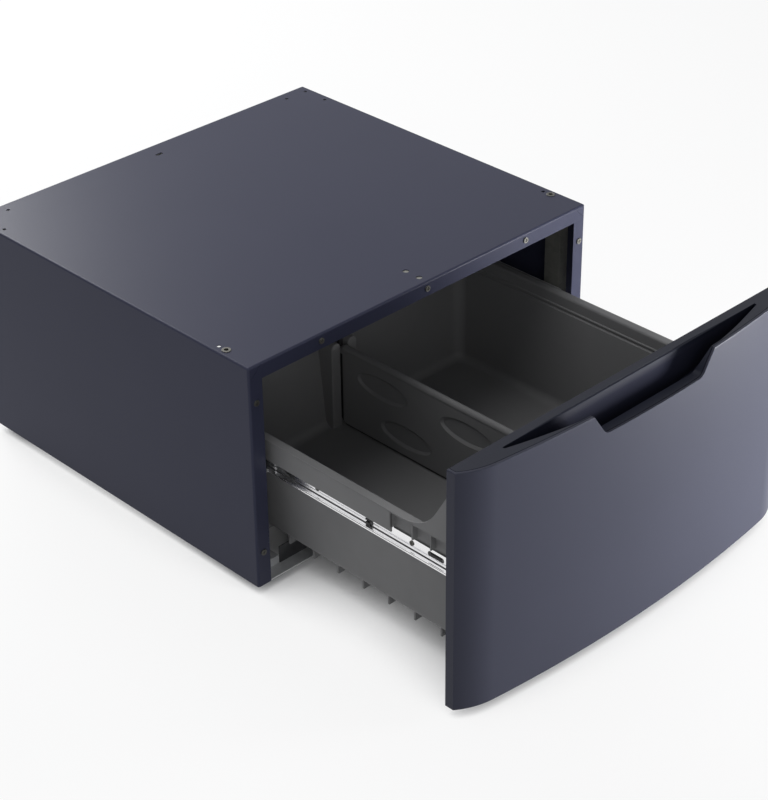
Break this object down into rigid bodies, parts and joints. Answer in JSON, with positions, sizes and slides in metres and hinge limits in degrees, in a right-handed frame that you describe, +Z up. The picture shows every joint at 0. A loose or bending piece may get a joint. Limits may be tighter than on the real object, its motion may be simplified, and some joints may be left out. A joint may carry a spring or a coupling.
{
  "type": "washer pedestal drawer",
  "caption": "Painted steel pedestal that a front-loading washer stands on, with a bowed pull-out storage drawer on ball slides, a lift-out divider and levelling feet.",
  "frame": {"origin": "floor level, under the middle of the whole outline with the drawer pulled out", "axes": "+Z up, +Y to the back of the cabinet, -Y the way the drawer opens, +X to the right as seen from the front"},
  "size_m": [0.711, 1.103, 0.406],
  "materials": {
    "paint": "satin",
    "cap_plastic": "fine grain",
    "bin_plastic": "fine grain",
    "black_plastic": "semi-gloss",
    "rubber": "matte",
    "zinc": "bright zinc",
    "galvanised": "galvanised"
  },
  "bodies": {
    "cabinet": {"cabinet_wrap": "paint", "back_panel": "paint", "front_base_rail": "galvanised", "rear_base_rail": "galvanised", "left_base_rail": "galvanised", "right_base_rail": "galvanised", "front_top_rail": "galvanised", "rear_top_rail": "galvanised", "left_front_post": "galvanised", "right_front_post": "galvanised", "left_rear_post": "galvanised", "right_rear_post": "galvanised", "left_slide_support": "galvanised", "right_slide_support": "galvanised", "foot_brackets": "galvanised", "foot_weld_nuts": "galvanised", "foot_lock_nuts": "zinc", "flange_screws": "zinc", "back_screws": "zinc", "support_screws": "zinc", "left_cabinet_slide": "zinc", "right_cabinet_slide": "zinc"},
    "drawer": {"left_drawer_slide": "zinc", "right_drawer_slide": "zinc", "left_slide_clip": "black_plastic", "right_slide_clip": "black_plastic", "slide_screws": "zinc", "drawer_bin": "bin_plastic", "front_skin": "paint", "front_back_plate": "galvanised", "handle_cap": "cap_plastic", "bottom_cap": "cap_plastic", "front_screws": "zinc"},
    "left_cage": {"left_ball_cage": "galvanised", "left_balls": "zinc"},
    "right_cage": {"right_ball_cage": "galvanised", "right_balls": "zinc"},
    "divider": {"divider": "bin_plastic", "divider_clip": "black_plastic"},
    "left_lever": {"left_release_lever": "black_plastic"},
    "right_lever": {"right_release_lever": "black_plastic"},
    "front_left_foot": {"front_left_foot": "zinc", "front_left_pad": "rubber"},
    "front_right_foot": {"front_right_foot": "zinc", "front_right_pad": "rubber"},
    "rear_left_foot": {"rear_left_foot": "zinc", "rear_left_pad": "rubber"},
    "rear_right_foot": {"rear_right_foot": "zinc", "rear_right_pad": "rubber"}
  },
  "joints": [
    {"name": "drawer_slide", "type": "slide", "parent": "cabinet", "child": "drawer", "axis": [0, -1, 0], "range_m": [-0.3817, 0]},
    {"name": "left_cage_slide", "type": "slide", "parent": "cabinet", "child": "left_cage", "axis": [0, -1, 0], "range_m": [-0.191, 0]},
    {"name": "right_cage_slide", "type": "slide", "parent": "cabinet", "child": "right_cage", "axis": [0, -1, 0], "range_m": [-0.191, 0]},
    {"name": "divider_lift", "type": "slide", "parent": "drawer", "child": "divider", "axis": [0, 0, 1], "range_m": [0, 0.15]},
    {"name": "left_release_hinge", "type": "hinge", "parent": "drawer", "child": "left_lever", "pos_m": [-0.3008, -0.4127, 0.2035], "axis": [1, 0, 0], "range_deg": [-4, 4], "stiffness_Nm_per_rad": 0.02},
    {"name": "right_release_hinge", "type": "hinge", "parent": "drawer", "child": "right_lever", "pos_m": [0.3008, -0.4127, 0.2035], "axis": [1, 0, 0], "range_deg": [-4, 4], "stiffness_Nm_per_rad": 0.02},
    {"name": "front_left_foot_turn", "type": "hinge", "parent": "cabinet", "child": "front_left_foot", "pos_m": [-0.316, -0.0545, 0.02], "axis": [0, 0, 1], "continuous": true},
    {"name": "front_right_foot_turn", "type": "hinge", "parent": "cabinet", "child": "front_right_foot", "pos_m": [0.316, -0.0545, 0.02], "axis": [0, 0, 1], "continuous": true},
    {"name": "rear_left_foot_turn", "type": "hinge", "parent": "cabinet", "child": "rear_left_foot", "pos_m": [-0.316, 0.4935, 0.02], "axis": [0, 0, 1], "continuous": true},
    {"name": "rear_right_foot_turn", "type": "hinge", "parent": "cabinet", "child": "rear_right_foot", "pos_m": [0.316, 0.4935, 0.02], "axis": [0, 0, 1], "continuous": true}
  ],
  "couplings": [
    {"joint": "left_cage_slide", "follows": "drawer_slide", "ratio": 0.5},
    {"joint": "right_cage_slide", "follows": "drawer_slide", "ratio": 0.5}
  ]
}
